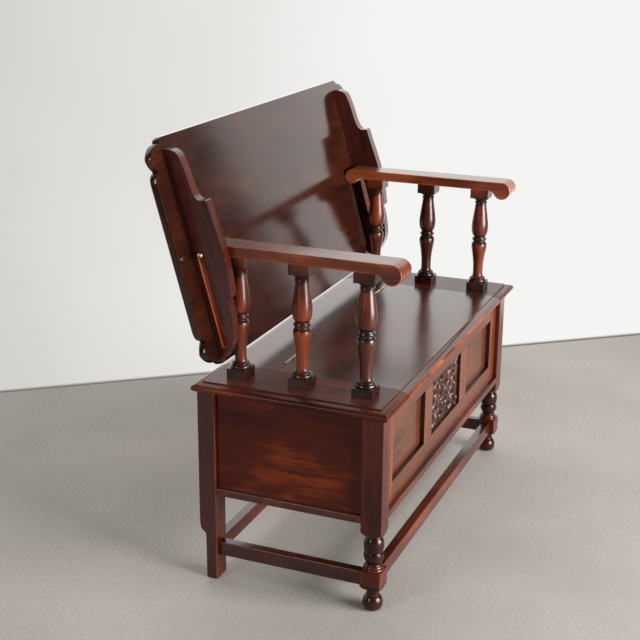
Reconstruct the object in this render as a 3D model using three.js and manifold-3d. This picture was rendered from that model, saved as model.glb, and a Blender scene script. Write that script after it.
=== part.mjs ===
// Storage bench whose back is a table top. Millimetres, +Z up, +X to a sitter's left-to-right
// as seen from the front, the front faces -Y. The box seat opens by a hinged lid; the back slides
// on two pins in the arm ends and folds forward onto the arms as a table.
import * as THREE from "three";
import { mergeVertices } from "three/addons/utils/BufferGeometryUtils.js";
import Module from "manifold-3d";

const wasm = await Module();
wasm.setup();

// ---- driving dimensions ------------------------------------------------------------------
const GAP = 0.3; // left between pieces that touch

const SEAT_HEIGHT = 440; // top of the seat
const SEAT_THICK = 20;
const SEAT_HALF_LENGTH = 450; // to the top arris, the moulding stands outside it
const SEAT_HALF_DEPTH = 187.5;
const LID_HALF_LENGTH = 340;
const HINGE_Y = 77.5; // joint between the lid and the rear board

const LEG_OUTER = 445; // outer face of the legs, from the middle
const LEG_SIDE = 43;
const LEG_FRONT = -191; // front face of the front legs
const REAR_LEG_DEPTH = 38;
const REAR_LEG_BACK = 204;

const BOTTOM_TOP = 207; // bottom board of the box
const BOTTOM_THICK = 14.5;
const FRAME_SETBACK = 10; // front frame behind the faces of the legs
const FRAME_THICK = 18;
const PANEL_SETBACK = 10; // panels behind the front frame
const PANEL_THICK = 8;
const OPENING_LOW = 249.5; // panel openings in the front frame
const OPENING_HIGH = 371;
const MUNTIN_INNER = 104;
const MUNTIN_OUTER = 155;
const STILE_INNER = 356.5;
const END_PANEL_SETBACK = 9;
const END_PANEL_THICK = 12;

const STRETCHER_LOW = 52;
const STRETCHER_HIGH = 82;
const STRETCHER_THICK = 20;

const ARM_TOP = 712;
const ARM_THICK = 21.5;
const ARM_INNER = 361;
const ARM_OUTER = 419;
const BALUSTER_SIDE = 43;
const BALUSTER_Y = [-133, 0, 133];

const LEAN = THREE.MathUtils.degToRad(16); // of the back, from upright
const PIN_Y = 191;
const PIN_Z = 694.5;
const PIN_RADIUS = 4;
const ARM_REAR_RADIUS = 17.2; // the board turns round this end
const TOP_HALF_LENGTH = 494;
const TOP_THICK = 18;
const TOP_LOW = -220; // board edges, along the board from the pins
const TOP_HIGH = 236;
const SLIDE = PIN_Y - (TOP_LOW + TOP_HIGH) / 2; // brings the table over the middle of the seat
const BRACKET_INNER = 421;
const BRACKET_THICK = 23.5;
const BRACKET_HALF = 212;
const SLOT_WIDTH = 10;

const WOOD = { color: 0x5a2a1c, roughness: 0.28, metalness: 0 };
const BRASS = { color: 0xb8974f, roughness: 0.35, metalness: 0.9 };

// ---- shaping helpers ---------------------------------------------------------------------
function solidFrom(geometry) {
  const bare = new THREE.BufferGeometry()
    .setAttribute("position", geometry.getAttribute("position"))
    .setIndex(geometry.index);
  const merged = mergeVertices(bare, 1e-4);
  return new wasm.Manifold(
    new wasm.Mesh({
      numProp: 3,
      vertProperties: new Float32Array(merged.getAttribute("position").array),
      triVerts: new Uint32Array(merged.index.array),
    }),
  );
}

function geometryFrom(solid) {
  const mesh = solid.getMesh();
  const geometry = new THREE.BufferGeometry()
    .setAttribute("position", new THREE.BufferAttribute(mesh.vertProperties, 3))
    .setIndex(new THREE.BufferAttribute(mesh.triVerts, 1));
  geometry.computeVertexNormals();
  return geometry;
}

function block([x0, x1], [y0, y1], [z0, z1]) {
  const geometry = new THREE.BoxGeometry(x1 - x0, y1 - y0, z1 - z0);
  geometry.translate((x0 + x1) / 2, (y0 + y1) / 2, (z0 + z1) / 2);
  return solidFrom(geometry);
}

// A turned solid about the Z axis from [radius, height] pairs, bottom to top.
function turned(profile, segments) {
  const points = profile.map(([r, z]) => new THREE.Vector2(r, z));
  points.unshift(new THREE.Vector2(0, profile[0][1]));
  points.push(new THREE.Vector2(0, profile.at(-1)[1]));
  return solidFrom(new THREE.LatheGeometry(points, segments).rotateX(Math.PI / 2));
}

// A square post with turned parts, as it comes off the lathe: square where the profile is wide.
function turnedPost(side, profile, x, y, segments) {
  const half = side / 2;
  const low = profile[0][1];
  const high = profile.at(-1)[1];
  return block([-half, half], [-half, half], [low, high])
    .intersect(turned(profile, segments))
    .translate(x, y, 0);
}

// A side outline (across = Y, up = Z) made solid between x0 and x1.
function sidePiece(outline, x0, x1, curveSegments = 8) {
  const geometry = new THREE.ExtrudeGeometry(outline, {
    depth: x1 - x0,
    bevelEnabled: false,
    curveSegments,
  });
  const toSide = new THREE.Matrix4().makeBasis(
    new THREE.Vector3(0, 1, 0),
    new THREE.Vector3(0, 0, 1),
    new THREE.Vector3(1, 0, 0),
  );
  return solidFrom(geometry.applyMatrix4(toSide)).translate(x0, 0, 0);
}

// A rod along X with rings of [x, radius].
function rod(rings, y, z, segments = 16) {
  const profile = rings.map(([x, r]) => [r, x]);
  return turned(profile, segments).rotate(0, 90, 0).translate(0, y, z);
}

const bench = new THREE.Group();

function add(name, solid, finish = WOOD, parent = bench) {
  const mesh = new THREE.Mesh(geometryFrom(solid), new THREE.MeshStandardMaterial(finish));
  mesh.name = name;
  parent.add(mesh);
  return mesh;
}

// Adds a piece and its mirror image across X = 0.
function addPair(stem, leftSolid, finish = WOOD, parent = bench) {
  add(stem + "_left", leftSolid, finish, parent);
  add(stem + "_right", leftSolid.mirror([1, 0, 0]), finish, parent);
}

// ---- legs --------------------------------------------------------------------------------
const SQUARE = 0.75; // a profile radius of this many sides clears the corners of the post
const LEG_X = -LEG_OUTER + LEG_SIDE / 2;
const LEG_Y = LEG_FRONT + LEG_SIDE / 2;
const LEG_TOP = SEAT_HEIGHT - SEAT_THICK - GAP;

// Points of a bulge from angle a to angle b (degrees, 0 = widest, positive = up).
function bulge(centre, radius, halfHeight, a, b, steps) {
  return Array.from({ length: steps + 1 }, (_, i) => {
    const angle = THREE.MathUtils.degToRad(a + ((b - a) * i) / steps);
    return [radius * Math.cos(angle), centre + halfHeight * Math.sin(angle)];
  });
}

function frontLeg() {
  const wide = LEG_SIDE * SQUARE;
  const profile = [
    ...bulge(16, 20.3, 16.5, -72, 52, 8), // ball foot
    [12.8, 32],
    [13.2, 46], // neck
    [18, 50],
    [26, 55],
    [wide, 64], // rounded lower corners of the stretcher block
    [wide, 88.5],
    [20.5, 88.6],
    [20.5, 92], // two collar rings
    [17.5, 93.5],
    [18, 97],
    [14.4, 99.5],
    [14.6, 103],
    ...bulge(118, 19.8, 9, -60, 60, 5), // cup
    [17, 127.3],
    ...bulge(144.5, 20.4, 17, -50, 50, 6), // ball
    [14, 161],
    [14.6, 163.5],
    [20, 167],
    [26, 171],
    [wide, 181], // shoulder of the square stile
    [wide, LEG_TOP],
  ];
  return turnedPost(LEG_SIDE, profile, LEG_X, LEG_Y, 20);
}

function rearLeg() {
  const front = REAR_LEG_BACK - REAR_LEG_DEPTH;
  const lowerBack = REAR_LEG_BACK - 14; // set in to clear a skirting board
  const outline = new THREE.Shape();
  outline.moveTo(front, 0);
  outline.lineTo(lowerBack - 3, 0);
  outline.lineTo(lowerBack, 5);
  outline.lineTo(lowerBack, 90);
  outline.quadraticCurveTo(lowerBack + 1, 104, lowerBack + 8, 108);
  outline.quadraticCurveTo(REAR_LEG_BACK, 113, REAR_LEG_BACK, 132);
  outline.lineTo(REAR_LEG_BACK, LEG_TOP);
  outline.lineTo(front, LEG_TOP);
  return sidePiece(outline, -LEG_OUTER, -LEG_OUTER + LEG_SIDE, 5);
}

addPair("front_leg", frontLeg());
addPair("rear_leg", rearLeg());

// ---- stretchers --------------------------------------------------------------------------
const LEG_INNER = LEG_OUTER - LEG_SIDE; // inner faces of the legs
const REAR_LEG_FRONT = REAR_LEG_BACK - REAR_LEG_DEPTH;
const stretcherRise = [STRETCHER_LOW, STRETCHER_HIGH];
const halfBar = STRETCHER_THICK / 2;
const REAR_STRETCHER_Y = REAR_LEG_FRONT + 12;
const alongX = [-LEG_INNER + GAP, LEG_INNER - GAP];
const alongY = [LEG_FRONT + LEG_SIDE + GAP, REAR_LEG_FRONT - GAP];

add("stretcher_front", block(alongX, [LEG_Y - halfBar, LEG_Y + halfBar], stretcherRise));
add("stretcher_rear", block(alongX, [REAR_STRETCHER_Y - halfBar, REAR_STRETCHER_Y + halfBar], stretcherRise));
addPair("stretcher", block([LEG_X - halfBar, LEG_X + halfBar], alongY, stretcherRise));

// ---- box ---------------------------------------------------------------------------------
function bottomBoard() {
  const rise = [BOTTOM_TOP - BOTTOM_THICK, BOTTOM_TOP];
  let board = block([-LEG_OUTER, LEG_OUTER], [LEG_FRONT, REAR_LEG_BACK], rise);
  for (const side of [-1, 1]) {
    const outside = [side * (LEG_INNER - GAP), side * (LEG_OUTER + 1)].sort((a, b) => a - b);
    board = board
      .subtract(block(outside, [LEG_FRONT - 1, LEG_FRONT + LEG_SIDE + GAP], [0, LEG_TOP]))
      .subtract(block(outside, [REAR_LEG_FRONT - GAP, REAR_LEG_BACK + 1], [0, LEG_TOP]));
  }
  return board;
}

const boxRise = [BOTTOM_TOP + GAP, LEG_TOP];
const endOuter = LEG_OUTER - END_PANEL_SETBACK;

add("bottom_board", bottomBoard());
addPair("end_panel", block([-endOuter, -endOuter + END_PANEL_THICK], alongY, boxRise));

const frameFace = LEG_FRONT + FRAME_SETBACK;
const frameDepth = [frameFace, frameFace + FRAME_THICK];
const panelFace = frameFace + PANEL_SETBACK;
const panelDepth = [panelFace, panelFace + PANEL_THICK];
const openingRise = [OPENING_LOW + GAP, OPENING_HIGH - GAP];
const stileSpan = [-LEG_INNER + GAP, -STILE_INNER];
const muntinSpan = [-MUNTIN_OUTER, -MUNTIN_INNER];

add("front_top_rail", block([stileSpan[1] + GAP, -stileSpan[1] - GAP], frameDepth, [OPENING_HIGH, LEG_TOP]));
add("front_bottom_rail", block([stileSpan[1] + GAP, -stileSpan[1] - GAP], frameDepth, [boxRise[0], OPENING_LOW]));
addPair("front_stile", block(stileSpan, frameDepth, boxRise));
addPair("front_muntin", block(muntinSpan, frameDepth, openingRise));
addPair("front_panel", block([-STILE_INNER + GAP, -MUNTIN_OUTER - GAP], panelDepth, openingRise));
add("front_panel_carved", block([-MUNTIN_INNER + GAP, MUNTIN_INNER - GAP], panelDepth, openingRise));

const backFace = REAR_LEG_BACK - 6;
const railDepth = [backFace - 18, backFace];
const backPanelDepth = [backFace - 14, backFace - 6];
add("back_top_rail", block(alongX, railDepth, [LEG_TOP - 45, LEG_TOP]));
add("back_bottom_rail", block(alongX, railDepth, [boxRise[0], boxRise[0] + 42]));
add("back_panel", block(alongX, backPanelDepth, [boxRise[0] + 42 + GAP, LEG_TOP - 45 - GAP]));

// ---- seat --------------------------------------------------------------------------------
// Moulding on all four edges: [distance outside the top arris, depth below it], top to bottom.
const SEAT_MOULDING = [
  [0, 0],
  [1.5, 3],
  [9, 4.5],
  [15, 7.5],
  [18.5, 11.5],
  [18.5, 15],
  [15.5, 18.5],
  [11, SEAT_THICK],
];

// A rectangular slab whose four edges follow the moulding, with mitred corners.
function mouldedSlab() {
  const rings = SEAT_MOULDING.toReversed().map(([out, down]) => {
    const x = SEAT_HALF_LENGTH + out;
    const y = SEAT_HALF_DEPTH + out;
    const z = SEAT_HEIGHT - down;
    return [-x, -y, z, x, -y, z, x, y, z, -x, y, z];
  });
  const faces = [0, 2, 1, 0, 3, 2];
  for (let ring = 0; ring + 1 < rings.length; ring++) {
    for (let corner = 0; corner < 4; corner++) {
      const a = ring * 4 + corner;
      const b = ring * 4 + ((corner + 1) % 4);
      faces.push(a, b, b + 4, a, b + 4, a + 4);
    }
  }
  const last = (rings.length - 1) * 4;
  faces.push(last, last + 1, last + 2, last, last + 2, last + 3);
  const geometry = new THREE.BufferGeometry()
    .setAttribute("position", new THREE.Float32BufferAttribute(rings.flat(), 3))
    .setIndex(faces);
  return solidFrom(geometry);
}

// Butt hinges: leaves let into the two edges of the joint, knuckles level with the seat top.
const HINGE_X = [-267, 267];
const HINGE_LENGTH = 64;
const LEAF_THICK = 1.6;
const LEAF_DROP = 17;
const KNUCKLE_RADIUS = 3.2;
const JOINT_HALF = 0.5; // half the joint between lid and rear board

function hingeRecess(x) {
  const span = [x - HINGE_LENGTH / 2 - GAP, x + HINGE_LENGTH / 2 + GAP];
  const reach = JOINT_HALF + LEAF_THICK + GAP;
  const slot = block(span, [HINGE_Y - reach, HINGE_Y + reach], [SEAT_HEIGHT - LEAF_DROP - 1, SEAT_HEIGHT + 1]);
  const cradle = rod([[span[0], KNUCKLE_RADIUS + 0.6], [span[1], KNUCKLE_RADIUS + 0.6]], HINGE_Y, SEAT_HEIGHT);
  return slot.add(cradle);
}

const slab = HINGE_X.reduce((board, x) => board.subtract(hingeRecess(x)), mouldedSlab());
const slabRise = [SEAT_HEIGHT - SEAT_THICK - 1, SEAT_HEIGHT + 1];
const slabFront = -SEAT_HALF_DEPTH - 30;
const slabBack = SEAT_HALF_DEPTH + 30;
const lidSpan = [-LID_HALF_LENGTH + 0.4, LID_HALF_LENGTH - 0.4];

add("seat_lid", slab.intersect(block(lidSpan, [slabFront, HINGE_Y - JOINT_HALF], slabRise)));
add("seat_rear_board", slab.intersect(block(lidSpan, [HINGE_Y + JOINT_HALF, slabBack], slabRise)));
addPair("seat_end", slab.intersect(block([-500, -LID_HALF_LENGTH - 0.4], [slabFront, slabBack], slabRise)));

const battenTop = SEAT_HEIGHT - SEAT_THICK - GAP;
addPair("lid_batten", block([-235, -190], [-140, 50], [battenTop - 16, battenTop]));

// side is -1 for the leaf on the lid and 1 for the fixed one; they share the knuckles.
function hingeLeaf(x, side, knuckles) {
  const inner = HINGE_Y + side * JOINT_HALF;
  const across = [inner, inner + side * LEAF_THICK].sort((a, b) => a - b);
  const span = [x - HINGE_LENGTH / 2, x + HINGE_LENGTH / 2];
  const reach = KNUCKLE_RADIUS + GAP;
  const share = HINGE_LENGTH / 5;
  let leaf = block(span, across, [SEAT_HEIGHT - LEAF_DROP, SEAT_HEIGHT]);
  for (let i = 0; i < 5; i++) {
    const from = span[0] + i * share;
    const to = from + share;
    if (knuckles.includes(i)) {
      const ends = [[from + GAP, KNUCKLE_RADIUS], [to - GAP, KNUCKLE_RADIUS]];
      leaf = leaf.add(rod(ends, HINGE_Y, SEAT_HEIGHT));
    } else {
      leaf = leaf.subtract(rod([[from - GAP, reach], [to + GAP, reach]], HINGE_Y, SEAT_HEIGHT));
    }
  }
  return leaf.subtract(rod([[span[0] - 1, 1.5], [span[1] + 1, 1.5]], HINGE_Y, SEAT_HEIGHT));
}

HINGE_X.forEach((x, i) => {
  const stem = "hinge_" + ["left", "right"][i];
  const half = HINGE_LENGTH / 2;
  add(stem + "_fixed_leaf", hingeLeaf(x, 1, [0, 2, 4]), BRASS);
  add(stem + "_lid_leaf", hingeLeaf(x, -1, [1, 3]), BRASS);
  add(stem + "_pin", rod([[x - half, 1.2], [x + half, 1.2]], HINGE_Y, SEAT_HEIGHT, 12), BRASS);
});

// ---- balusters and arms ------------------------------------------------------------------
const ARM_UNDER = ARM_TOP - ARM_THICK;
const ARM_X = -(ARM_INNER + ARM_OUTER) / 2;

function baluster(y) {
  const wide = BALUSTER_SIDE * SQUARE;
  const profile = [
    [wide, SEAT_HEIGHT + GAP],
    [wide, 459.5],
    [19.2, 459.6],
    [19.8, 465], // base ring
    [17.2, 468],
    [15.2, 474],
    [11.6, 479],
    [11, 490],
    [12, 511], // lower vase, wide at the top
    [14.6, 523],
    [17.4, 534],
    [18.5, 545],
    [17.2, 555],
    [13.6, 561],
    [14.6, 564.5], // middle ring
    [18.2, 568.5],
    [14.8, 572],
    [17.2, 579], // upper vase, wide at the bottom
    [19.4, 588],
    [20, 598],
    [18.2, 613],
    [15.2, 633],
    [12.6, 653],
    [13.2, 656.5],
    [12.4, 658],
    [16, 662],
    [19.5, 667], // top ring
    [wide, 667.5],
    [wide, ARM_UNDER - GAP],
  ];
  return turnedPost(BALUSTER_SIDE, profile, ARM_X, y, 16);
}

BALUSTER_Y.forEach((y, i) => addPair("baluster_" + ["front", "middle", "rear"][i], baluster(y)));

function arm() {
  const frontRadius = 20.4;
  const frontY = -189;
  const frontZ = ARM_TOP - frontRadius;
  const outline = new THREE.Shape();
  outline.moveTo(frontY, ARM_TOP);
  outline.absarc(frontY, frontZ, frontRadius, Math.PI / 2, 2 * Math.PI - 0.5, false);
  outline.quadraticCurveTo(frontY + 22, ARM_UNDER, frontY + 34, ARM_UNDER);
  outline.lineTo(PIN_Y - 27, ARM_UNDER);
  outline.quadraticCurveTo(PIN_Y - 19, ARM_UNDER, PIN_Y - 15, PIN_Z - 8.4);
  outline.absarc(PIN_Y, PIN_Z, ARM_REAR_RADIUS, Math.PI + 0.51, 2.5 * Math.PI, false);
  outline.lineTo(PIN_Y, ARM_TOP);
  const whole = sidePiece(outline, -ARM_OUTER, -ARM_INNER, 10);
  const bore = [[-ARM_OUTER - 1, PIN_RADIUS + GAP], [-ARM_OUTER + 22, PIN_RADIUS + GAP]];
  return whole.subtract(rod(bore, PIN_Y, PIN_Z));
}

function pivotPin() {
  const headFrom = -BRACKET_INNER - BRACKET_THICK - 0.5;
  const rings = [
    [headFrom - 4.5, 2],
    [headFrom - 3.6, 4.2],
    [headFrom - 1.8, 5.8],
    [headFrom, 6.2],
    [headFrom, PIN_RADIUS],
    [-ARM_OUTER + 21, PIN_RADIUS],
  ];
  return rod(rings, PIN_Y, PIN_Z);
}

addPair("arm", arm());
addPair("pivot_pin", pivotPin(), BRASS);

// ---- table top and brackets --------------------------------------------------------------
// This group stands at the pins and leans back: its Z runs up the board and its Y out of the back.
const back = new THREE.Group();
back.position.set(0, PIN_Y, PIN_Z);
back.rotation.x = -LEAN;
bench.add(back);

const FACE = ARM_TOP + GAP - PIN_Z; // from the pins to the board's face, which rests on the arms

// One quarter of the outline, from the middle of a long edge to the middle of an end. The corner
// is a rounded lobe between two notches.
function quarterOutline(height) {
  const length = TOP_HALF_LENGTH;
  const lobe = new THREE.Vector2(length - 33.5, height - 38);
  const lobeRadius = 29.5;
  const points = [[length - 66, height]];
  points.push([length - 56, height - 1.5], [length - 49, height - 4.5], [length - 44.5, height - 9.5]);
  const start = THREE.MathUtils.degToRad(108);
  const end = THREE.MathUtils.degToRad(-55);
  for (let i = 0; i <= 9; i++) {
    const angle = start + ((end - start) * i) / 9;
    points.push([lobe.x + lobeRadius * Math.cos(angle), lobe.y + lobeRadius * Math.sin(angle)]);
  }
  points.push([length - 9, height - 67], [length - 3.5, height - 74], [length, height - 86]);
  return points;
}

function tableTop() {
  const middle = (TOP_HIGH + TOP_LOW) / 2;
  const quarter = quarterOutline(TOP_HIGH - middle);
  const right = [...quarter, ...quarter.toReversed().map(([x, z]) => [x, -z])];
  const loop = [...right, ...right.toReversed().map(([x, z]) => [-x, z])];
  const outline = new THREE.Shape(loop.map(([x, z]) => new THREE.Vector2(x, middle + z)));
  const geometry = new THREE.ExtrudeGeometry(outline, { depth: TOP_THICK, bevelEnabled: false });
  return solidFrom(geometry.rotateX(Math.PI / 2)).translate(0, FACE + TOP_THICK, 0);
}

// d is the depth in front of the board's face, s the place along the board.
function bracket() {
  const outline = new THREE.Shape();
  const at = (d, s) => [FACE - GAP - d, s];
  outline.moveTo(...at(0, -BRACKET_HALF));
  outline.bezierCurveTo(...at(24, -208), ...at(50, -180), ...at(50, -135));
  outline.bezierCurveTo(...at(50, -122), ...at(50, -112), ...at(47, -104));
  outline.quadraticCurveTo(...at(51, -97), ...at(61, -95));
  outline.quadraticCurveTo(...at(75, 0), ...at(61.5, 96));
  outline.lineTo(...at(60, 100.5));
  outline.bezierCurveTo(...at(47, 101), ...at(41, 108), ...at(39, 120));
  outline.bezierCurveTo(...at(36, 145), ...at(37, 165), ...at(32, 188));
  outline.bezierCurveTo(...at(28, 202), ...at(18, 210), ...at(0, BRACKET_HALF));
  const whole = sidePiece(outline, -BRACKET_INNER - BRACKET_THICK, -BRACKET_INNER, 6);

  const slot = new THREE.Shape();
  const half = SLOT_WIDTH / 2;
  slot.absarc(0, -SLIDE, half, Math.PI, 2 * Math.PI, false);
  slot.absarc(0, 0, half, 0, Math.PI, false);
  return whole.subtract(sidePiece(slot, -BRACKET_INNER - BRACKET_THICK - 1, -BRACKET_INNER + 1, 8));
}

add("table_top", tableTop(), WOOD, back);
addPair("bracket", bracket(), WOOD, back);

// ---- stand the bench on the origin -------------------------------------------------------
bench.updateMatrixWorld(true);
const size = new THREE.Box3().setFromObject(bench, true);
bench.position.y = -(size.min.y + size.max.y) / 2;

export default bench;
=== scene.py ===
import math

import bmesh
import bpy
import numpy as np
from mathutils import Matrix, Vector


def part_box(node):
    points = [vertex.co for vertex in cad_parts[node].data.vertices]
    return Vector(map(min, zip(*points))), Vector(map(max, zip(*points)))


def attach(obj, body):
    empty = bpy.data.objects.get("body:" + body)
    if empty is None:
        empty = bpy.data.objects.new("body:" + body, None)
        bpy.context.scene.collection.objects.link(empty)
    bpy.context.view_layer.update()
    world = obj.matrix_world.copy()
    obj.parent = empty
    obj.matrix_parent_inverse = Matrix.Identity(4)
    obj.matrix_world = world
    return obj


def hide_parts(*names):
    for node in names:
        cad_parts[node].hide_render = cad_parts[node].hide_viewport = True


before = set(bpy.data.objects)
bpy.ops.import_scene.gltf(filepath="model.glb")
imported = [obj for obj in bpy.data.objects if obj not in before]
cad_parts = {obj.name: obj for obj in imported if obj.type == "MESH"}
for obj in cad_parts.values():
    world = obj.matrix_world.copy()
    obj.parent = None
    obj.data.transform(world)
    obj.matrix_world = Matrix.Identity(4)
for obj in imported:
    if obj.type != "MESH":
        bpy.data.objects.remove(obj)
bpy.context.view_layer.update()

# All shapes below are in millimetres in the bench's own frame: z up from the floor, the front
# faces -y, y = 0 is the middle of the seat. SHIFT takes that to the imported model's frame.
MM = 0.001
GAP = 0.3  # left between pieces that touch

LEG_FRONT = -191.0
LEG_SIDE = 43.0
LEG_OUTER = 445.0  # outer face of the legs, from the middle of the bench
LEG_TOP = 419.7
LEG_X = -LEG_OUTER + LEG_SIDE / 2
LEG_Y = LEG_FRONT + LEG_SIDE / 2
REAR_LEG_FRONT = 166.0
REAR_LEG_BACK = 204.0
SQUARE = 33.0  # a lathe radius that clears the corners of a post

SEAT_TOP = 440.0
SEAT_HALF_LENGTH = 450.0  # to the top arris, the moulding stands outside it
SEAT_HALF_DEPTH = 187.5
LID_HALF_LENGTH = 339.6
END_BOARD_INNER = 340.4
HINGE_X = 267.0
HINGE_Y = 77.5  # the joint between the lid and the rear board
HINGE_HALF = 32.3
JOINT_HALF = 0.5

ARM_INNER = 361.0
ARM_OUTER = 419.0
ARM_TOP = 712.0
ARM_UNDER = 690.5
ARM_NOSE = 20.3  # radius of the rolled front end
ARM_NOSE_Y = -189.0
ARM_REAR_RADIUS = 17.2  # the table turns round this end
BALUSTER_SIDE = 43.0
BALUSTER_X = 390.0
BALUSTER_Y = {"front": -133.0, "middle": 0.0, "rear": 133.0}

PIN_Y = 191.0
PIN_Z = 694.5
PIN_RADIUS = 3.9
PIN_INNER = 398.5
PIN_HEAD = 445.3  # underside of the pin's head
HEAD_RADIUS = 6.2
HEAD_HEIGHT = 4.2

LEAN = math.radians(16)  # of the back, from upright
FACE = 17.8  # face of the table top that the brackets are on, behind the pins
TOP_LOW = -220.0  # edges of the table top, along it from the pins
TOP_HIGH = 236.0
BRACKET_OUTER = 444.5
BRACKET_INNER = 421.0
SLOT_RADIUS = 5.0
SLOT_TRAVEL = 183.0

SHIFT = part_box("front_leg_left")[0].y / MM - LEG_FRONT
TO_FRAME = Matrix.Scale(MM, 4) @ Matrix.Translation((0, SHIFT, 0))
# The back's own axes: x along the bench, y out of its rear, z up the table top, from the pins.
TO_BACK = TO_FRAME @ Matrix.Translation((0, PIN_Y, PIN_Z)) @ Matrix.Rotation(-LEAN, 4, "X")


# ---- curves ------------------------------------------------------------------------------
def curve(points, steps=5):
    """A smooth line through the points (Catmull-Rom), ends included."""
    pts = [Vector(p) for p in points]
    pts = [2 * pts[0] - pts[1], *pts, 2 * pts[-1] - pts[-2]]
    out = []
    for a, b, c, d in zip(pts, pts[1:], pts[2:], pts[3:]):
        for i in range(steps):
            t = i / steps
            slope = (c - a) * t
            bend = (2 * a - 5 * b + 4 * c - d) * t * t
            turn = (3 * b - a - 3 * c + d) * t**3
            out.append(0.5 * (2 * b + slope + bend + turn))
    return [tuple(p) for p in out] + [tuple(points[-1])]


def arc(centre, radius, start, end, steps):
    """Points on a circle from one angle to another, in degrees."""
    angles = [math.radians(start + (end - start) * i / steps) for i in range(steps + 1)]
    return [(centre[0] + radius * math.cos(a), centre[1] + radius * math.sin(a)) for a in angles]


def strokes(*lines):
    """Smooth strokes joined end to end, with a corner where one stops and the next begins."""
    out = []
    for line in lines:
        for p in line:
            if not out or (Vector(p) - Vector(out[-1])).length > 0.01:
                out.append(p)
    return out


def inset(loop, distance):
    """A closed outline (anticlockwise) moved inwards by a distance, with mitred corners."""
    out = []
    for before, here, after in zip([loop[-1], *loop[:-1]], loop, [*loop[1:], loop[0]]):
        a = (Vector(here) - Vector(before)).normalized()
        b = (Vector(after) - Vector(here)).normalized()
        na = Vector((-a.y, a.x))
        nb = Vector((-b.y, b.x))
        mitre = na + nb
        out.append(tuple(Vector(here) + mitre * (distance * 2 / max(mitre.length_squared, 1.2))))
    return out


# ---- making pieces -----------------------------------------------------------------------
def finish_piece(bm, name, material, body, nodes, to_frame=TO_FRAME, sharp=32):
    """Turns a bmesh in millimetres into a piece that rides a body and stands for CAD nodes."""
    bm.transform(to_frame)
    bmesh.ops.recalc_face_normals(bm, faces=bm.faces)
    mesh = bpy.data.meshes.new(name)
    bm.to_mesh(mesh)
    bm.free()
    mesh.polygons.foreach_set("use_smooth", [True] * len(mesh.polygons))
    mesh.set_sharp_from_angle(angle=math.radians(sharp))
    piece = bpy.data.objects.new(name, mesh)
    bpy.context.scene.collection.objects.link(piece)
    for m in material if isinstance(material, (list, tuple)) else [material]:
        mesh.materials.append(m)
    # Keeps the shading of each broad face flat, with all the turn in the eased arrises.
    piece.modifiers.new("flat_faces", "WEIGHTED_NORMAL").keep_sharp = True
    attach(piece, body)
    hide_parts(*nodes)


def ease(bm, width, segments=2, over=40, clamp=True):
    """Rounds every edge that turns more than an angle and marks the new faces as worn."""
    worn = bm.faces.layers.float.get("worn") or bm.faces.layers.float.new("worn")
    edges = [e for e in bm.edges if len(e.link_faces) == 2 and e.calc_face_angle(0) > math.radians(over)]
    made = bmesh.ops.bevel(
        bm, geom=edges, offset=width, segments=segments, profile=0.6, affect="EDGES", clamp_overlap=clamp
    )
    for face in made["faces"]:
        face[worn] = 1.0
    return bm


def prism(outline, x0, x1, hole=None):
    """A side outline (across = y, up = z) made solid from x0 to x1, with an optional hole."""
    bm = bmesh.new()
    edges = []
    for loop in [outline, *([hole] if hole else [])]:
        verts = [bm.verts.new((x0, y, z)) for y, z in loop]
        edges += [bm.edges.new((a, b)) for a, b in zip(verts, [*verts[1:], verts[0]])]
    bmesh.ops.triangle_fill(bm, use_beauty=True, edges=edges)
    if not hole:
        bmesh.ops.dissolve_faces(bm, faces=bm.faces[:])
    made = bmesh.ops.extrude_face_region(bm, geom=bm.faces[:])
    moved = [v for v in made["geom"] if isinstance(v, bmesh.types.BMVert)]
    bmesh.ops.translate(bm, verts=moved, vec=(x1 - x0, 0, 0))
    bmesh.ops.recalc_face_normals(bm, faces=bm.faces)
    return bm


def mirrored(bm):
    """The same shape on the other side of the bench."""
    other = bm.copy()
    bmesh.ops.scale(other, vec=(-1, 1, 1), verts=other.verts)
    bmesh.ops.reverse_faces(other, faces=other.faces)
    return other


def pair(bm, stem, material, body, to_frame=TO_FRAME):
    """The left piece as given, and its mirror image on the right."""
    other = mirrored(bm)
    finish_piece(bm, stem + "_left_wood", material, body, [stem + "_left"], to_frame)
    finish_piece(other, stem + "_right_wood", material, body, [stem + "_right"], to_frame)


def eased_copy(node, material, body, width=1.0, shade_sides=False):
    """A board from its CAD solid, with softened arrises and, if asked, painted shade on its side faces."""
    bm = bmesh.new()
    bm.from_mesh(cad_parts[node].data)
    bm.transform(TO_FRAME.inverted())
    bmesh.ops.remove_doubles(bm, verts=bm.verts, dist=0.01)
    bmesh.ops.dissolve_limit(bm, angle_limit=math.radians(2), verts=bm.verts, edges=bm.edges)
    ease(bm, width)
    if shade_sides:
        # Painted shade: every face that is not the front or the back, such as the recess walls round the
        # panels, is darkened.
        crevice = bm.faces.layers.float.new("crevice")
        for face in bm.faces:
            face[crevice] = 1.0 if abs(face.normal.y) < 0.3 else 0.0
    finish_piece(bm, node + "_wood", material, body, [node])


def skin(bm, rings):
    """Faces between closed rings of vertices, first to last, with a cap on each end."""
    for low, high in zip(rings, rings[1:]):
        for a, b, c, d in zip(low, [*low[1:], low[0]], [*high[1:], high[0]], high):
            bm.faces.new((a, b, c, d))
    bm.faces.new(rings[0][::-1])
    bm.faces.new(rings[-1])
    return bm


def rings_to_mesh(rings):
    """A solid through closed rings of points."""
    bm = bmesh.new()
    return skin(bm, [[bm.verts.new(p) for p in ring] for ring in rings])


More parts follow.
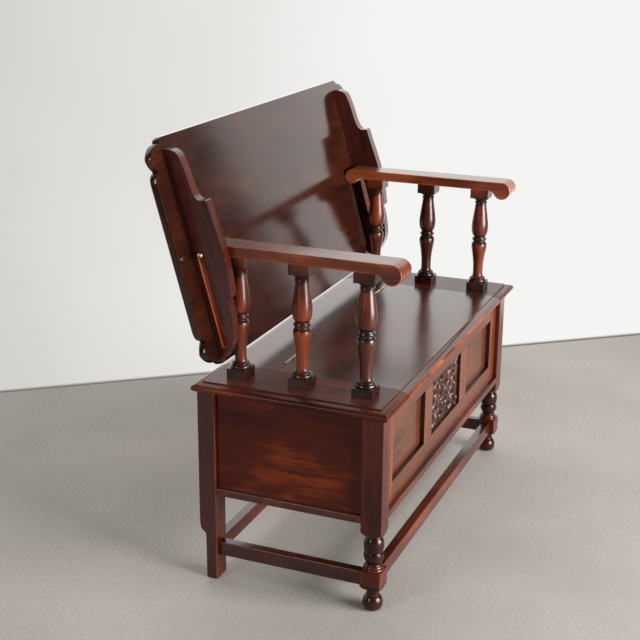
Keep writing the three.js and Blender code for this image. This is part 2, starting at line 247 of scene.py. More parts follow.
# ---- turned work -------------------------------------------------------------------------
# Angles round a quarter of a post, closer together at its corner.
QUARTER = [0, 7, 14, 21, 28, 34, 39, 42.5, 44.2, 45, 45.8, 47.5, 51, 56, 62, 69, 76, 83]
CORNER = 44  # power that shapes the square's corners: the higher, the crisper
NEARBY = 5  # a groove is judged against the profile this far above and below
WIDEST = 21
# GROOVE sets how deep a groove must sink for its painted shade to be full.
GROOVE = 2.2  # depth at which a groove is fully dark
BAND_GRIME = 0.85


def turned_post(profile, side, x, y, dark_bands=()):
    """A square post with turned parts: at each height the nearer of the lathe and the square.

    The profile is [radius, height] pairs. Shade is painted into the grooves, and old polish has
    gathered over the dark bands, given as [low, high] heights.
    """
    half = side / 2
    angles = [math.radians(q + 90 * k) for k in range(4) for q in QUARTER]
    bm = bmesh.new()
    crevice = bm.verts.layers.float.new("crevice")
    heights = np.array([z for _, z in profile])
    radii = np.array([r for r, _ in profile])
    rings = []
    for r, z in profile:
        # Painted shade in each groove, by how far it sinks below the profile near it; old dark polish over
        # the bands.
        near = np.abs(heights - z) < NEARBY
        hollow = np.minimum(radii[near], WIDEST).mean() - min(r, WIDEST)
        depth = min(max(hollow / GROOVE, 0), 1)
        if any(low <= z <= high for low, high in dark_bands):
            depth = max(depth, BAND_GRIME)
        ring = []
        for a in angles:
            square = half / (abs(math.cos(a)) ** CORNER + abs(math.sin(a)) ** CORNER) ** (1 / CORNER)
            reach = min(r, square)
            v = bm.verts.new((x + reach * math.cos(a), y + reach * math.sin(a), z))
            v[crevice] = depth
            ring.append(v)
        rings.append(ring)
    return skin(bm, rings)


def rod(profile, y, z, segments=40):
    """A turned piece along x from [x, radius] pairs."""
    angles = [2 * math.pi * i / segments for i in range(segments)]
    rings = [[(x, y + r * math.cos(a), z + r * math.sin(a)) for a in angles] for x, r in profile]
    return rings_to_mesh(rings)


# ---- materials ---------------------------------------------------------------------------
def nodes_of(name):
    """A new material and its empty node tree."""
    material = bpy.data.materials.new(name)
    material.use_nodes = True
    tree = material.node_tree
    tree.nodes.clear()
    return material, tree


def node(tree, kind, links=None, **settings):
    """A node with its settings made and each named socket linked or given a value."""
    made = tree.nodes.new(kind)
    for key, value in settings.items():
        setattr(made, key, value)
    for socket, value in (links or {}).items():
        if isinstance(value, bpy.types.NodeSocket):
            tree.links.new(value, made.inputs[socket])
        else:
            made.inputs[socket].default_value = value
    return made


def maths(tree, operation, a, b=0.0, clamp=False):
    return node(tree, "ShaderNodeMath", {0: a, 1: b}, operation=operation, use_clamp=clamp).outputs[0]


def blend_colour(tree, factor, a, b):
    made = node(tree, "ShaderNodeMix", data_type="RGBA")
    for socket, value in ((0, factor), (6, a), (7, b)):
        if isinstance(value, bpy.types.NodeSocket):
            tree.links.new(value, made.inputs[socket])
        else:
            made.inputs[socket].default_value = value
    return made.outputs[2]


def ramp(tree, factor, low, high):
    """0 below low, 1 above high, smooth between."""
    made = node(tree, "ShaderNodeMapRange", {0: factor, 1: low, 2: high}, interpolation_type="SMOOTHSTEP")
    return made.outputs[0]


def show(tree, shader):
    """Ends a material with its surface shader."""
    out = node(tree, "ShaderNodeOutputMaterial")
    tree.links.new(shader.outputs[0], out.inputs[0])


# Turns that bring the grain of a piece onto the texture's x axis.
GRAIN_TURN = {
    "x": (0, 0, 0),
    "y": (0, 0, math.radians(-90)),
    "z": (0, math.radians(90), 0),
    "back": (LEAN, math.radians(90), 0),
}


def srgb(*levels):
    """A linear colour from 0-255 display levels."""
    linear = [v / 255 / 12.92 if v < 11 else ((v / 255 + 0.055) / 1.055) ** 2.4 for v in levels]
    return (*linear, 1.0)


# The stain, from its dark clouds to its light ones, and what stands out of it.
DARK = srgb(30, 11, 8)
MID = srgb(62, 22, 13)
LIGHT = srgb(96, 42, 22)
WORN = srgb(196, 88, 36)
PORE = srgb(24, 9, 6)
# Painted shade for grooves, recess walls and carved hollows, and dark old polish on turned bands.
SHADE_AND_GRIME = srgb(20, 9, 7)


def wood(name, grain, dark, mid, light, mottle=0.5, rough=0.2, wear=0.25, shine=0.5):
    """Polished wood: cloudy figure, growth lines and pores along the grain, worn arrises."""
    material, tree = nodes_of(name)
    at = node(tree, "ShaderNodeTexCoord").outputs["Object"]
    turned = node(tree, "ShaderNodeMapping", {"Vector": at, "Rotation": GRAIN_TURN[grain]}).outputs[0]
    chance = node(tree, "ShaderNodeObjectInfo").outputs["Random"]
    along = maths(tree, "MULTIPLY", chance, 7.0)
    away = node(tree, "ShaderNodeCombineXYZ", {0: along, 1: chance, 2: chance}).outputs[0]
    place = node(tree, "ShaderNodeVectorMath", {0: turned, 1: away}, operation="ADD").outputs[0]

    def noise(scale, stretch, detail, fineness=0.5, distort=0.0):
        squeezed = node(tree, "ShaderNodeMapping", {"Vector": place, "Scale": (stretch, 1, 1)}).outputs[0]
        links = {"Vector": squeezed, "Scale": scale, "Detail": detail}
        links |= {"Roughness": fineness, "Distortion": distort}
        return node(tree, "ShaderNodeTexNoise", links).outputs[0]

    def times(value, factor):
        return maths(tree, "MULTIPLY", value, factor)

    cloud = noise(9, 0.45, 3, 0.55)
    streak = noise(70, 0.06, 6, 0.62, 0.2)
    fine = noise(260, 0.05, 4, 0.6)
    growth = noise(3.2, 0.16, 2, 0.4, 0.6)
    lines = maths(tree, "PINGPONG", times(growth, 19.0), 1.0)
    pore = ramp(tree, noise(620, 0.045, 2, 0.5), 0.58, 0.70)
    rays = noise(34, 0.5, 2, 0.5, 1.2)

    # How far from dark to light the stain lies here: [pattern, low, high, weight].
    tone = times(ramp(tree, cloud, 0.32, 0.70), mottle)
    for pattern, low, high, weight in (
        (streak, 0.35, 0.68, 0.22),
        (lines, 0.1, 0.95, 0.14),
        (fine, 0.4, 0.65, 0.14),
        (rays, 0.60, 0.72, 0.08),
    ):
        tone = maths(tree, "ADD", tone, times(ramp(tree, pattern, low, high), weight), clamp=True)
    lower = blend_colour(tree, ramp(tree, tone, 0.0, 0.5), dark, mid)
    colour = blend_colour(tree, ramp(tree, tone, 0.5, 1.0), lower, light)
    colour = blend_colour(tree, times(pore, 0.45), colour, PORE)

    # The arrises are rubbed through in patches; hollows get painted shade, and turned bands old polish.
    rubbed = node(tree, "ShaderNodeAttribute", attribute_name="worn").outputs["Fac"]
    patchy = ramp(tree, noise(26, 0.3, 4, 0.7), 0.36, 0.62)
    colour = blend_colour(tree, times(times(rubbed, patchy), wear), colour, WORN)
    deep = node(tree, "ShaderNodeAttribute", attribute_name="crevice").outputs["Fac"]
    colour = blend_colour(tree, times(deep, 0.9), colour, SHADE_AND_GRIME)

    gloss = maths(tree, "ADD", rough - 0.05, times(cloud, 0.1))
    gloss = maths(tree, "ADD", gloss, times(pore, 0.05))
    height = maths(tree, "SUBTRACT", times(streak, 0.5), times(pore, 0.3))
    bump = node(tree, "ShaderNodeBump", {"Height": height, "Strength": 0.08, "Distance": 0.0003})
    links = {"Base Color": colour, "Roughness": gloss, "Normal": bump.outputs[0]}
    show(tree, node(tree, "ShaderNodeBsdfPrincipled", links | {"Specular IOR Level": shine}))
    return material


boards_x = wood("polish_along", "x", DARK, srgb(70, 26, 14), srgb(110, 50, 26), wear=0.35)
boards_y = wood("polish_across", "y", DARK, MID, LIGHT)
posts = wood("polish_upright", "z", DARK, MID, LIGHT, wear=0.5)
seat_x = wood("polish_seat", "x", DARK, MID, LIGHT, wear=1.0)
seat_y = wood(
    "polish_seat_end", "y", DARK, srgb(76, 28, 14), srgb(118, 52, 24), rough=0.28, wear=0.8, shine=0.15
)
front_x = wood(
    "polish_front", "x", srgb(58, 28, 16), srgb(86, 42, 24), srgb(116, 66, 40), mottle=0.4, rough=0.24
)
front_z = wood(
    "polish_front_upright", "z", srgb(58, 27, 15), srgb(98, 47, 25), srgb(134, 76, 44), mottle=0.4, rough=0.24
)
ends = wood(
    "polish_end_panel", "y", srgb(50, 14, 8), srgb(72, 22, 10), srgb(122, 48, 17), mottle=0.65, shine=0.2
)
leg_wood = wood(
    "polish_leg", "z", srgb(48, 17, 11), srgb(76, 26, 15), srgb(108, 46, 26), wear=0.5, shine=0.3
)
turned_light = srgb(124, 54, 27)
turnings = wood(
    "polish_turned", "z", srgb(38, 14, 9), srgb(70, 26, 15), turned_light, mottle=0.7, rough=0.27, shine=0.42
)
arm_wood = wood(
    "polish_arm", "y", srgb(60, 24, 15), srgb(98, 42, 24), srgb(146, 76, 44), mottle=0.7, wear=0.7
)
table_wood = wood(
    "polish_table", "x", srgb(25, 10, 7), srgb(42, 17, 10), srgb(66, 29, 16), mottle=0.55, rough=0.13
)
bracket_wood = wood("polish_bracket", "back", srgb(40, 16, 13), srgb(70, 29, 22), srgb(98, 49, 36))
carving = wood(
    "polish_carved", "x", srgb(38, 19, 14), srgb(66, 34, 24), srgb(92, 52, 38), rough=0.3, shine=0.35
)
bare = wood("bare_slot", "back", srgb(176, 84, 38), srgb(222, 122, 60), srgb(240, 160, 96), rough=0.6)
inside = wood("inside_wood", "x", srgb(92, 54, 34), srgb(124, 78, 50), srgb(152, 102, 68), rough=0.7)


def brass_metal():
    """Old brass: dull brown patches over a soft yellow metal."""
    material, tree = nodes_of("aged_brass")
    at = node(tree, "ShaderNodeTexCoord").outputs["Object"]
    cloud = node(tree, "ShaderNodeTexNoise", {"Vector": at, "Scale": 160.0, "Detail": 5.0}).outputs[0]
    fine = node(tree, "ShaderNodeTexNoise", {"Vector": at, "Scale": 1400.0, "Detail": 3.0}).outputs[0]
    colour = blend_colour(tree, ramp(tree, cloud, 0.38, 0.66), srgb(120, 98, 62), srgb(206, 190, 152))
    gloss = maths(tree, "ADD", 0.2, maths(tree, "MULTIPLY", cloud, 0.3))
    bump = node(tree, "ShaderNodeBump", {"Height": fine, "Strength": 0.2, "Distance": 0.0001}).outputs[0]
    links = {"Base Color": colour, "Roughness": gloss, "Normal": bump, "Metallic": 1.0}
    show(tree, node(tree, "ShaderNodeBsdfPrincipled", links))
    return material


brass = brass_metal()


# ---- legs --------------------------------------------------------------------------------
def front_legs():
    """Ball foot, neck, square block, collar, cup and ball under a square stile."""
    profile = strokes(
        curve([(11, 0), (16.8, 3), (20, 10), (20.6, 16.5), (19.7, 23), (16.8, 29), (13.6, 32.4)]),
        curve([(13.6, 32.4), (12.9, 36), (13.2, 43), (15.5, 47.5), (20, 49.8)]),
        curve([(20, 49.8), (26.5, 52), (30, 57), (SQUARE, 64)]),
        [(SQUARE, 64), (SQUARE, 88.2), (31, 88.8), (20.6, 89)],
        curve([(20.6, 89), (21.3, 91.2), (20.4, 93.4)], 3),
        [(18.7, 93.8)],
        curve([(18.9, 94.2), (19.5, 96.2), (18.6, 98.4)], 3),
        curve(
            [(16.4, 98.8), (14.9, 101), (14.8, 103.4), (16.4, 107), (19, 112.4), (20.3, 117.6), (20.2, 121)]
        ),
        [(19.2, 121.5)],
        curve([(19.7, 121.9), (20.1, 123.4), (19.6, 125)], 3),
        [(17.2, 125.4), (16.4, 127)],
        curve([(16.4, 127), (19, 131), (20.4, 137), (20.7, 144), (20, 151), (17.9, 157), (15.2, 160.8)]),
        curve([(15.2, 160.8), (15, 162.4), (16.4, 163.6)], 3),
        curve([(16.4, 163.6), (20.6, 165.8), (25.4, 169), (29.4, 174.4), (SQUARE, 184)]),
        [(SQUARE, 184), (SQUARE, LEG_TOP)],
    )
    bands = [(0, 58), (100, 165)]
    pair(turned_post(profile, LEG_SIDE, LEG_X, LEG_Y, bands), "front_leg", leg_wood, "bench")


def rear_legs():
    """Square, with the rear cut back by a cove to clear a skirting board."""
    outline = strokes(
        [(REAR_LEG_FRONT, 0), (187, 0), (190, 5), (190, 90)],
        curve([(190, 90), (190.6, 99), (194, 105), (199.5, 109), (202.8, 118), (REAR_LEG_BACK, 132)]),
        [(REAR_LEG_BACK, LEG_TOP), (REAR_LEG_FRONT, LEG_TOP)],
    )
    post = prism(outline, -LEG_OUTER, -LEG_OUTER + LEG_SIDE)
    pair(ease(post, 1.2), "rear_leg", posts, "bench")


front_legs()
rear_legs()


# ---- frame and box -----------------------------------------------------------------------
def plain_boards():
    """The boards, rails, stiles and panels that are plain in shape."""
    for name in ("stretcher_front", "stretcher_rear", "bottom_board"):
        eased_copy(name, boards_x, "bench", 0.9)
    for name in ("front_top_rail", "front_bottom_rail", "front_panel_left", "front_panel_right"):
        eased_copy(name, front_x, "bench", 0.9, shade_sides=True)
    for name in ("front_stile_left", "front_stile_right", "front_muntin_left", "front_muntin_right"):
        eased_copy(name, front_z, "bench", 0.7, shade_sides=True)
    for name in ("stretcher_left", "stretcher_right"):
        eased_copy(name, boards_y, "bench", 1.3)
    for name in ("end_panel_left", "end_panel_right"):
        eased_copy(name, ends, "bench", 0.8)
    for name in ("back_top_rail", "back_bottom_rail", "back_panel"):
        eased_copy(name, inside, "bench", 0.8)
    for name in ("lid_batten_left", "lid_batten_right"):
        eased_copy(name, inside, "lid", 1.5)


# Rosettes of leaves over a quarter of the carving: [centre x, centre z, reach, leaves, turn].
SPRAYS = [
    (0, 0, 25, 8, 0.0),
    (0, 42, 23, 6, 0.52),
    (36, 20, 22, 6, 0.3),
    (62, 0, 21, 6, 0.0),
    (58, 44, 22, 6, 0.9),
    (90, 24, 21, 6, 0.5),
    (98, 54, 18, 6, 0.2),
    (30, -6, 14, 5, 0.8),
]


def relief(x, z):
    """Height of the carving, 0 to 1: sprays of pointed leaves that overlap and fill the panel."""
    across = np.abs(x)
    up = np.abs(z)
    heights = [0.05 * (np.sin(x * 1.7) * np.sin(z * 1.7)) ** 2]
    for at_x, at_z, reach, leaves, turn in SPRAYS:
        radius = np.hypot(across - at_x, up - at_z)
        swing = (np.arctan2(up - at_z, across - at_x) - turn) * leaves / 2
        leaf = np.abs(np.cos(swing))
        edge = reach * (0.34 + 0.66 * leaf**1.4)
        body = np.sqrt(np.clip(1 - (radius / edge) ** 2, 0, 1)) * (0.35 + 0.6 * leaf)
        vein = np.exp(-((np.sin(swing) * radius / 1.1) ** 2)) * (body > 0.15)
        boss = 0.95 * np.sqrt(np.clip(1 - (radius / 4.2) ** 2, 0, 1))
        heights += [body - 0.3 * vein, boss]
    border = np.clip(np.maximum(across - 98, up - 55) / 2.0, 0, 1) * 0.4
    return np.maximum.reduce([*heights, border])


def carved_panel():
    """A panel whose face stands out as the relief, with painted shade in the hollows and rubbed on the
    heights.
    """
    low, high = (TO_FRAME.inverted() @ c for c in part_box("front_panel_carved"))
    step = 0.8
    depth = 4.6
    across = int((high.x - low.x) / step)
    up = int((high.z - low.z) / step)
    xs = np.linspace(low.x, high.x, across)
    zs = np.linspace(low.z, high.z, up)
    gx, gz = np.meshgrid(xs, zs)
    height = relief(gx, gz - (low.z + high.z) / 2)
    ys = low.y - depth * height
    bm = bmesh.new()
    crevice = bm.verts.layers.float.new("crevice")
    worn = bm.verts.layers.float.new("worn")
    grid = []
    for row in range(up):
        line = []
        for column in range(across):
            v = bm.verts.new((xs[column], ys[row, column], zs[row]))
            # Painted shade, deepest in the hollows of the relief.
            v[crevice] = float(max(0.0, 0.95 - 1.7 * height[row, column]))
            v[worn] = float(max(0.0, height[row, column] - 0.7)) * 0.8
            line.append(v)
        grid.append(line)
    for a, b in zip(grid, grid[1:]):
        for i in range(across - 1):
            bm.faces.new((a[i], a[i + 1], b[i + 1], b[i]))
    rim = [*grid[0], *[r[-1] for r in grid[1:]], *grid[-1][-2::-1], *[r[0] for r in grid[-2:0:-1]]]
    back = [bm.verts.new((v.co.x, high.y, v.co.z)) for v in rim]
    for a, b, c, d in zip(rim, [*rim[1:], rim[0]], [*back[1:], back[0]], back):
        bm.faces.new((a, d, c, b))
    bm.faces.new(back)
    finish_piece(bm, "front_panel_carved_wood", carving, "bench", ["front_panel_carved"], sharp=60)


plain_boards()
carved_panel()


# ---- seat --------------------------------------------------------------------------------
# [distance outside the top arris, depth below it], top to bottom.
MOULDING = strokes(
    [(-0.6, 0), (-0.1, 0.25), (0, 0.9), (0, 2.7)],
    curve([(0.6, 2.8), (5, 3.3), (9.5, 4.3), (13.4, 5.8), (16.2, 7.8), (17.8, 10.2), (18.2, 12.6)]),
    curve([(18.2, 12.6), (17.6, 15), (15.8, 17.3), (13.4, 19.2), (11, 20)]),
)


def moulded_board(x0, x1, y0, y1, sides, lighter_nose=False):
    """A board with the seat moulding on some of its sides: w left, e right, s front, n rear."""
    rings = []
    for out, down in MOULDING:
        z = SEAT_TOP - down
        a = x0 - out * ("w" in sides)
        b = x1 + out * ("e" in sides)
        c = y0 - out * ("s" in sides)
        d = y1 + out * ("n" in sides)
        rings.append([(a, c, z), (b, c, z), (b, d, z), (a, d, z)])
    bm = rings_to_mesh(rings)
    bmesh.ops.recalc_face_normals(bm, faces=bm.faces)
    ease(bm, 0.45, 2, 60)
    if lighter_nose:
        lighten_nose(bm)
    return bm


def lighten_nose(bm):
    """Marks the front nose for the lighter orange, most near the middle, fading towards the ends."""
    for x in range(-280, 300, 70):
        everything = [*bm.verts, *bm.edges, *bm.faces]
        bmesh.ops.bisect_plane(bm, geom=everything, plane_co=(x, 0, 0), plane_no=(1, 0, 0))
    worn = bm.faces.layers.float["worn"]
    for face in bm.faces:
        middle = face.calc_center_median()
        if face.normal.y < -0.2 and SEAT_TOP - 17.5 < middle.z < SEAT_TOP - 7:
            face[worn] = max(0.0, 0.62 - abs(middle.x + 40) / 700)


def cut_hinges(bm):
    """Lets the hinge leaves and knuckles into an edge of the joint."""
    recess_width = 4.8
    recess_height = 19
    cradle_radius = 3.8
    for x in (-HINGE_X, HINGE_X):
        box = bmesh.new()
        bmesh.ops.create_cube(box, size=1)
        size = Matrix.Diagonal((2 * HINGE_HALF, recess_width, recess_height, 1))
        middle = Matrix.Translation((x, HINGE_Y, SEAT_TOP + 1 - recess_height / 2))
        bmesh.ops.transform(box, matrix=middle @ size, verts=box.verts)
        ends_at = [(x - HINGE_HALF, cradle_radius), (x + HINGE_HALF, cradle_radius)]
        cradle = rod(ends_at, HINGE_Y, SEAT_TOP, 24)
        for cutter in (box, cradle):
            bmesh.ops.recalc_face_normals(cutter, faces=cutter.faces)
            bm = cut(bm, cutter)
    return bm


def cut(bm, cutter):
    """bm less the cutter, by an exact boolean."""
    made = []
    for shape in (bm, cutter):
        mesh = bpy.data.meshes.new("cut")
        shape.to_mesh(mesh)
        shape.free()
        made.append(bpy.data.objects.new("cut", mesh))
        bpy.context.scene.collection.objects.link(made[-1])
    boolean = made[0].modifiers.new("cut", "BOOLEAN")
    boolean.operation = "DIFFERENCE"
    boolean.solver = "EXACT"
    boolean.object = made[1]
    done = bmesh.new()
    done.from_object(made[0], bpy.context.evaluated_depsgraph_get())
    for o in made:
        bpy.data.meshes.remove(o.data)
    return done


def seat():
    """The lid and the rear board meet in the hinge joint, between a board at each end."""
    span = (-LID_HALF_LENGTH, LID_HALF_LENGTH)
    lid = moulded_board(*span, -SEAT_HALF_DEPTH, HINGE_Y - JOINT_HALF, "s", lighter_nose=True)
    finish_piece(cut_hinges(lid), "seat_lid_wood", seat_x, "lid", ["seat_lid"])
    rear = moulded_board(*span, HINGE_Y + JOINT_HALF, SEAT_HALF_DEPTH, "n")
    finish_piece(cut_hinges(rear), "seat_rear_board_wood", seat_x, "bench", ["seat_rear_board"])
    end = moulded_board(-SEAT_HALF_LENGTH, -END_BOARD_INNER, -SEAT_HALF_DEPTH, SEAT_HALF_DEPTH, "wsn")
    pair(end, "seat_end", seat_y, "bench")


seat()


# ---- arms and balusters ------------------------------------------------------------------
def balusters():
    """Three under each arm: a square block, collars, two vase shapes and a square block."""
    profile = strokes(
        [(SQUARE, SEAT_TOP + GAP), (SQUARE, 457.4), (31, 458), (20.4, 458.3)],
        curve([(20.4, 458.3), (21.3, 460.8), (20.3, 463.6)], 3),
        [(18.2, 464.2)],
        curve([(17.6, 464.8), (18.3, 467), (17, 469)], 3),
        curve([(14.6, 469.6), (12.7, 472.5), (11.9, 478), (11.8, 487)]),
        curve(
            [(11.8, 487), (12.3, 501), (13.8, 516), (16, 530)]
            + [(17.9, 541), (18.4, 548), (17.4, 554), (14.6, 557.8)]
        ),
        curve([(14.6, 557.8), (13.9, 559.6), (14.4, 561.6)], 3),
        curve([(16.6, 562.2), (17.5, 564.6), (16.6, 567)], 3),
        curve([(14.4, 567.6), (13.8, 569.8), (14.8, 572.4)], 3),
        curve(
            [(14.8, 572.4), (17.6, 577), (19.4, 585), (20, 595), (19.5, 604)]
            + [(18, 616), (16, 630), (14.2, 642), (12.9, 652)]
        ),
        curve([(12.9, 652), (14.3, 653.4), (14.8, 655), (14.2, 656.6)], 3),
        curve([(13, 657.2), (13.4, 659), (15.8, 662), (18.6, 664.8), (19.7, 667)]),
        [(31, 667.2), (SQUARE, 667.8), (SQUARE, ARM_UNDER - GAP)],
    )
    bands = [(440, 470), (552, 575), (648, 690)]
    for place, y in BALUSTER_Y.items():
        for side, x in (("left", -BALUSTER_X), ("right", BALUSTER_X)):
            stem = f"baluster_{place}_{side}"
            post = turned_post(profile, BALUSTER_SIDE, x, y, bands)
            finish_piece(post, stem + "_wood", turnings, "bench", [stem])


def arms():
    """Flat, with a rolled nose in front and a round rear end about the pin."""
    outline = strokes(
        arc((ARM_NOSE_Y, ARM_TOP - ARM_NOSE), ARM_NOSE, 90, 331, 30),
        curve([(-171.2, 681.7), (-167, 687), (-161, 689.7), (-155, ARM_UNDER)]),
        [(-155, ARM_UNDER), (164, ARM_UNDER)],
        curve([(164, ARM_UNDER), (169, 689.9), (173, 688.4), (176, 686.1)]),
        arc((PIN_Y, PIN_Z), ARM_REAR_RADIUS, 209.3, 435, 26),
        [(PIN_Y + 2, ARM_TOP)],
    )
    arm = prism(outline, -ARM_OUTER, -ARM_INNER)
    pair(ease(arm, 2.0, 3, 50, clamp=False), "arm", arm_wood, "bench")


def pivot_pins():
    """A plain shank with a domed head outside the bracket."""
    dome = np.radians([0, 12, 26, 42, 58, 74, 84])
    profile = [(-PIN_INNER, PIN_RADIUS), (0.2 - PIN_HEAD, PIN_RADIUS)]
    profile += [(-PIN_HEAD - HEAD_HEIGHT * math.sin(a), HEAD_RADIUS * math.cos(a)) for a in dome]
    pair(rod(profile, PIN_Y, PIN_Z), "pivot_pin", brass, "pins")


balusters()
arms()
pivot_pins()


# ---- table top and brackets --------------------------------------------------------------
def top_outline():
    """The outline, anticlockwise, with a rounded lobe between two notches at each corner."""
    corner = strokes(
        curve([(433, 0), (440, 0.7), (447, 4.4), (451.6, 11.6)]),
        curve(
            [(451.6, 11.6), (460, 10.6), (472, 14.6), (483, 22.6)]
            + [(489.4, 31), (490.6, 38.6), (486, 49.5), (477, 60.5)]
        ),
        curve([(477, 60.5), (485.4, 64), (491.4, 71), (494, 82)]),
    )
    right = [(x, TOP_HIGH - d) for x, d in corner] + [(x, TOP_LOW + d) for x, d in corner[::-1]]
    return [(-x, z) for x, z in right] + right[::-1]


def table_top():
    """Rounded over on the side that is the table's upper face, arris eased on the other."""
    loop = top_outline()
    rounding = 6.5
    start = 11.5  # depth at which the rounding starts
    quarter = np.radians([0, 18, 36, 54, 72, 90])
    edge = [(2.4, 0), (1.1, 0.5), (0.5, 1.6), (0, 5)]
    edge += [(rounding * (1 - math.cos(a)), start + rounding * math.sin(a)) for a in quarter]
    rings = [[(x, FACE + deep, z) for x, z in inset(loop, inwards)] for inwards, deep in edge]
    finish_piece(rings_to_mesh(rings), "table_top_wood", table_wood, "top", ["table_top"], TO_BACK)


def brackets():
    """Shaped cleats under the table, each with a long slot whose sides are rubbed bare.

    The outline is [height above the table top's face, place along it] pairs.
    """
    outline = strokes(
        curve(
            [(0, 212), (10, 210), (18, 207), (25, 202), (30, 194)]
            + [(33, 178), (35.3, 156), (37, 130), (40, 112)]
        ),
        curve([(40, 112), (45.6, 104.4), (52, 101.6), (60, 101)]),
        curve(
            [(60, 101), (62, 96), (64, 67), (67, 31), (68.2, 5)]
            + [(67.6, -25), (65, -56), (62.4, -76), (60, -92)]
        ),
        curve([(60, -92), (54.5, -93.6), (50, -98.5)]),
        curve(
            [(50, -98.5), (50.6, -115), (48.4, -140), (44, -164), (37, -180)]
            + [(29, -191), (19, -202), (7, -209.5), (0, -212)]
        ),
    )
    slot = arc((0, 0), SLOT_RADIUS, 0, 180, 14) + arc((0, -SLOT_TRAVEL), SLOT_RADIUS, 180, 360, 14)
    loop = [(FACE - GAP - d, s) for d, s in outline]
    bm = ease(prism(loop, -BRACKET_OUTER, -BRACKET_INNER, slot), 1.2)
    for f in bm.faces:
        c = f.calc_center_median()
        nearest = min(max(c.z, -SLOT_TRAVEL), 0)
        if math.hypot(c.y, c.z - nearest) < SLOT_RADIUS + 0.6 and abs(f.normal.x) < 0.9:
            f.material_index = 1
    pair(bm, "bracket", [bracket_wood, bare], "top", TO_BACK)


table_top()
brackets()


# ---- hinges ------------------------------------------------------------------------------
for name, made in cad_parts.items():
    if name.startswith("hinge_"):
        for slot in made.material_slots:
            slot.material = brass


# ---- room, camera and light --------------------------------------------------------------
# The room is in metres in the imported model's frame.
WALL_ALONG = Vector((0.6206, -0.7841))
WALL_OUT = Vector((-0.7841, -0.6206))  # from the wall towards the camera
WALL_FOOT = Vector((0.248, 1.169))  # a point where the wall meets the floor
WALL_LEFT = 3.0
WALL_RIGHT = 2.7
WALL_HEIGHT = 3.2
FLOOR_DEPTH = 9
LIGHTS_AIM = (0, 0, 0.5)


def room():
    """A pale floor that meets a white wall behind the bench."""
    left = WALL_FOOT - WALL_ALONG * WALL_LEFT
    right = WALL_FOOT + WALL_ALONG * WALL_RIGHT
    near_right = right + WALL_OUT * FLOOR_DEPTH
    near_left = left + WALL_OUT * FLOOR_DEPTH - WALL_ALONG * WALL_LEFT
    floor = [(*p, 0) for p in (left, right, near_right, near_left)]
    wall = [(*left, 0), (*right, 0), (*right, WALL_HEIGHT), (*left, WALL_HEIGHT)]
    for name, points, material in (("floor", floor, floor_paint()), ("wall", wall, wall_paint())):
        mesh = bpy.data.meshes.new(name)
        mesh.from_pydata(points, [], [(0, 1, 2, 3)])
        made = bpy.data.objects.new(name, mesh)
        mesh.materials.append(material)
        bpy.context.scene.collection.objects.link(made)


def floor_paint():
    """A pale matt floor with soft clouds and fine grit."""
    material, tree = nodes_of("floor")
    at = node(tree, "ShaderNodeTexCoord").outputs["Object"]
    cloud = node(tree, "ShaderNodeTexNoise", {"Vector": at, "Scale": 2.4, "Detail": 6.0}).outputs[0]
    grit = node(tree, "ShaderNodeTexNoise", {"Vector": at, "Scale": 150.0, "Detail": 4.0}).outputs[0]
    grit = ramp(tree, grit, 0.42, 0.62)
    colour = blend_colour(tree, ramp(tree, cloud, 0.3, 0.7), srgb(166, 160, 153), srgb(180, 173, 166))
    colour = blend_colour(tree, maths(tree, "MULTIPLY", grit, 0.35), colour, srgb(146, 138, 130))
    show(tree, node(tree, "ShaderNodeBsdfPrincipled", {"Base Color": colour, "Roughness": 0.7}))
    return material


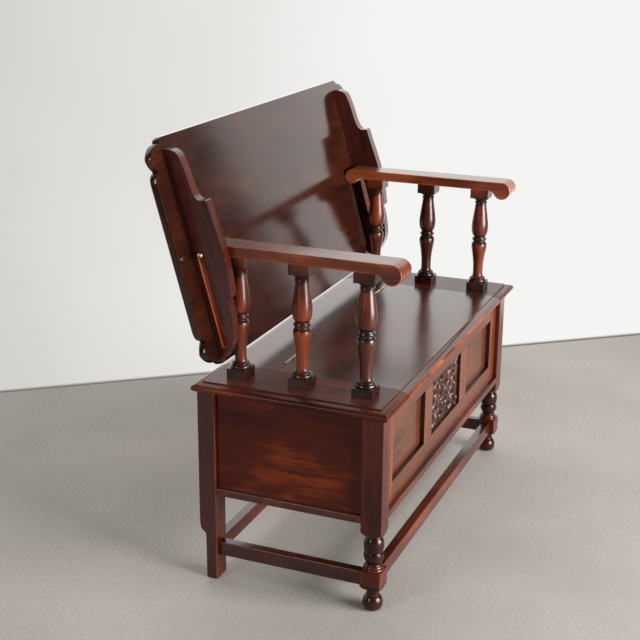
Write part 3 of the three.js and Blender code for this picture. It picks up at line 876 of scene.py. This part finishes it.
def wall_paint():
    """White paint, a little dimmer to the left as painted shade, with a painted shadow line at its foot.

    It glows, since the lamps are placed for the bench. It lights the bench, and shows in its
    polish, more brightly than it looks itself. From behind it is clear.
    """
    material, tree = nodes_of("wall")
    at = node(tree, "ShaderNodeTexCoord").outputs["Object"]
    parts = node(tree, "ShaderNodeSeparateXYZ", {0: at}).outputs
    across = parts[0]
    height = parts[2]
    patch = node(tree, "ShaderNodeTexNoise", {"Vector": at, "Scale": 1.1, "Detail": 2.0}).outputs[0]
    spread = maths(tree, "ADD", across, maths(tree, "MULTIPLY", patch, 0.5))
    # Painted shade: the wall as seen is dimmer to the left, in soft clouds.
    seen = blend_colour(tree, ramp(tree, spread, 0.4, 1.25), (0.63, 0.62, 0.595, 1), (0.91, 0.905, 0.89, 1))
    # Painted shadow: a dark line along the wall's foot.
    seen = blend_colour(tree, ramp(tree, height, 0.002, 0.012), (0.2, 0.18, 0.16, 1), seen)
    mirrored_left = (1.8, 1.78, 1.74, 1)
    mirrored_right = (1.35, 1.33, 1.3, 1)
    bright = blend_colour(tree, ramp(tree, across, 0.9, 1.9), mirrored_left, mirrored_right)
    ray = node(tree, "ShaderNodeLightPath").outputs
    unseen = blend_colour(tree, ray["Is Diffuse Ray"], bright, (0.9, 0.89, 0.87, 1))
    shown = blend_colour(tree, ray["Is Camera Ray"], unseen, seen)
    glow = node(tree, "ShaderNodeEmission", {"Color": shown, "Strength": 1.0}).outputs[0]
    clear = node(tree, "ShaderNodeBsdfTransparent").outputs[0]
    behind = node(tree, "ShaderNodeNewGeometry").outputs["Backfacing"]
    show(tree, node(tree, "ShaderNodeMixShader", {0: behind, 1: glow, 2: clear}))
    return material


def lamp(name, at, width, height, power):
    """A soft rectangular light that faces the bench."""
    data = bpy.data.lights.new(name, "AREA")
    data.shape = "RECTANGLE"
    data.size = width
    data.size_y = height
    data.energy = power
    made = bpy.data.objects.new(name, data)
    made.location = at
    made.rotation_euler = (Vector(LIGHTS_AIM) - Vector(at)).to_track_quat("-Z", "Y").to_euler()
    bpy.context.scene.collection.objects.link(made)


def lights():
    """A window in front, a weaker one to the left, a faint ceiling and a dim grey room."""
    lamp("window_front", (-0.5, -3.5, 1.05), 2.2, 1.8, 330)
    lamp("window_left", (-3.3, 1.25, 1.6), 0.8, 1.3, 34)
    lamp("ceiling", (0.3, -0.6, 3.3), 3.6, 3.6, 8)
    world = bpy.data.worlds.new("room_light")
    world.use_nodes = True
    tree = world.node_tree
    seen = node(tree, "ShaderNodeLightPath").outputs["Is Camera Ray"]
    shown = blend_colour(tree, seen, (0.08, 0.082, 0.085, 1), (0.72, 0.72, 0.71, 1))
    tree.links.new(shown, tree.nodes["Background"].inputs[0])
    bpy.context.scene.world = world
    bpy.context.scene.view_settings.view_transform = "Standard"


def camera():
    """The photograph's view, from the bench's left and a little above it."""
    azimuth = math.radians(-67.65)
    elevation = math.radians(18.25)
    roll = math.radians(0.49)
    place = Vector((-2540.1, -921.1, 1344.8))
    data = bpy.data.cameras.new("camera")
    data.sensor_width = 36
    data.lens = 71.8
    made = bpy.data.objects.new("camera", data)
    level = math.cos(elevation)
    forward = Vector((-math.sin(azimuth) * level, math.cos(azimuth) * level, -math.sin(elevation)))
    right = Vector((math.cos(azimuth), math.sin(azimuth), 0))
    up = right.cross(forward)
    right_rolled = right * math.cos(roll) + up * math.sin(roll)
    up_rolled = up * math.cos(roll) - right * math.sin(roll)
    turn = Matrix((right_rolled, up_rolled, -forward)).transposed()
    made.matrix_world = Matrix.Translation(TO_FRAME @ place) @ turn.to_4x4()
    bpy.context.scene.collection.objects.link(made)
    bpy.context.scene.camera = made


room()
lights()
camera()
